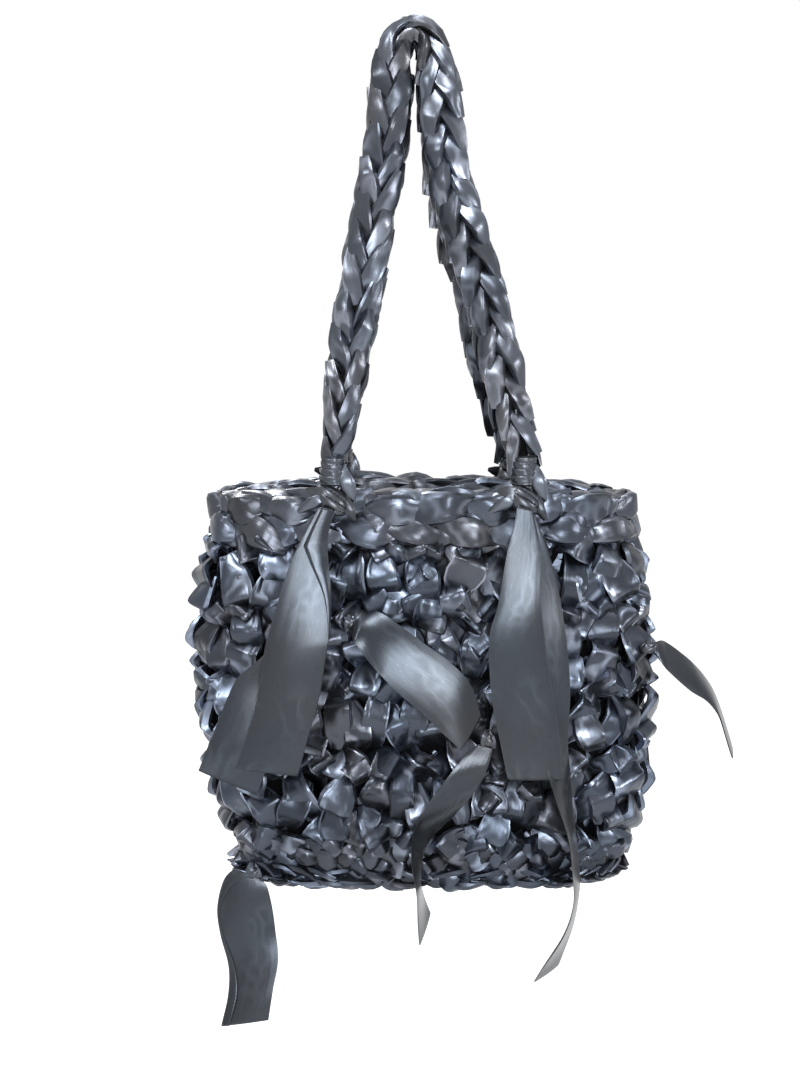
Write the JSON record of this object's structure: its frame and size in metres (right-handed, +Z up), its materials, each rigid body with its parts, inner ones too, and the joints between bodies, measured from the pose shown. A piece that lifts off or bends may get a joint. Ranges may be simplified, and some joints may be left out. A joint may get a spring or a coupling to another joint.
{
  "type": "crocheted satin tote bag",
  "caption": "Open tote crocheted from wide dark grey satin ribbon, with two plaited handles knotted to a chained rim and long loose ribbon ends.",
  "frame": {"origin": "the point that both handles hang from, under the bend at their top, midway between the front and back handle", "axes": "+Z up the hanging bag, +X to the right seen from the front, -Y out of the front"},
  "size_m": [0.3552, 0.1287, 0.6273],
  "materials": {
    "crochet_satin": "satin",
    "bound_satin": "satin",
    "plaited_satin": "satin",
    "ribbon_satin": "satin"
  },
  "bodies": {
    "bag": {"base_panel": "crochet_satin", "base_edge_round_1": "crochet_satin", "base_edge_round_2": "crochet_satin", "stitch_round_1": "crochet_satin", "stitch_round_2": "crochet_satin", "stitch_round_3": "crochet_satin", "stitch_round_4": "crochet_satin", "rim_round": "crochet_satin", "front_left_knot": "bound_satin", "front_right_knot": "bound_satin", "back_left_knot": "bound_satin", "back_right_knot": "bound_satin", "middle_end_knot": "bound_satin", "lower_end_knot": "bound_satin", "side_end_knot": "bound_satin", "corner_end_knot": "bound_satin"},
    "front_handle": {"front_handle_strap": "plaited_satin", "front_left_binding": "bound_satin", "front_right_binding": "bound_satin"},
    "back_handle": {"back_handle_strap": "plaited_satin", "back_left_binding": "bound_satin", "back_right_binding": "bound_satin"},
    "front_left_ribbons": {"front_left_ribbon": "ribbon_satin", "front_left_under_ribbon": "ribbon_satin"},
    "front_right_ribbons": {"front_right_ribbon": "ribbon_satin", "front_right_long_ribbon": "ribbon_satin"},
    "back_left_ribbons": {"back_left_ribbon": "ribbon_satin", "back_left_under_ribbon": "ribbon_satin"},
    "back_right_ribbons": {"back_right_ribbon": "ribbon_satin", "back_right_under_ribbon": "ribbon_satin"},
    "middle_end": {"middle_ribbon": "ribbon_satin"},
    "lower_end": {"lower_ribbon": "ribbon_satin"},
    "side_end": {"side_ribbon": "ribbon_satin"},
    "corner_end": {"corner_ribbon": "ribbon_satin"}
  },
  "joints": [
    {"name": "front_handle_fold", "type": "hinge", "parent": "bag", "child": "front_handle", "pos_m": [-0.049, -0.04776, -0.282], "axis": [-1, 0, 0], "range_deg": [-120, 0]},
    {"name": "back_handle_fold", "type": "hinge", "parent": "bag", "child": "back_handle", "pos_m": [-0.049, 0.04776, -0.282], "axis": [1, 0, 0], "range_deg": [-120, 0]},
    {"name": "front_left_ribbons_lift", "type": "hinge", "parent": "bag", "child": "front_left_ribbons", "pos_m": [-0.049, -0.04776, -0.282], "axis": [-1, 0, 0], "range_deg": [0, 70]},
    {"name": "front_right_ribbons_lift", "type": "hinge", "parent": "bag", "child": "front_right_ribbons", "pos_m": [0.067, -0.04776, -0.282], "axis": [-1, 0, 0], "range_deg": [0, 70]},
    {"name": "back_left_ribbons_lift", "type": "hinge", "parent": "bag", "child": "back_left_ribbons", "pos_m": [-0.049, 0.04776, -0.282], "axis": [1, 0, 0], "range_deg": [0, 70]},
    {"name": "back_right_ribbons_lift", "type": "hinge", "parent": "bag", "child": "back_right_ribbons", "pos_m": [0.067, 0.04776, -0.282], "axis": [1, 0, 0], "range_deg": [0, 70]},
    {"name": "middle_ribbon_lift", "type": "hinge", "parent": "bag", "child": "middle_end", "pos_m": [-0.03887, -0.04795, -0.3588], "axis": [-1, 0, 0], "range_deg": [0, 70]},
    {"name": "lower_ribbon_lift", "type": "hinge", "parent": "bag", "child": "lower_end", "pos_m": [0.04563, -0.05356, -0.43005], "axis": [-1, 0, 0], "range_deg": [0, 70]},
    {"name": "side_ribbon_lift", "type": "hinge", "parent": "bag", "child": "side_end", "pos_m": [0.14778, -0.02911, -0.37809], "axis": [0, -1, 0], "range_deg": [0, 45]},
    {"name": "corner_ribbon_lift", "type": "hinge", "parent": "bag", "child": "corner_end", "pos_m": [-0.10302, -0.02682, -0.52625], "axis": [-1, 0, 0], "range_deg": [0, 75]}
  ]
}
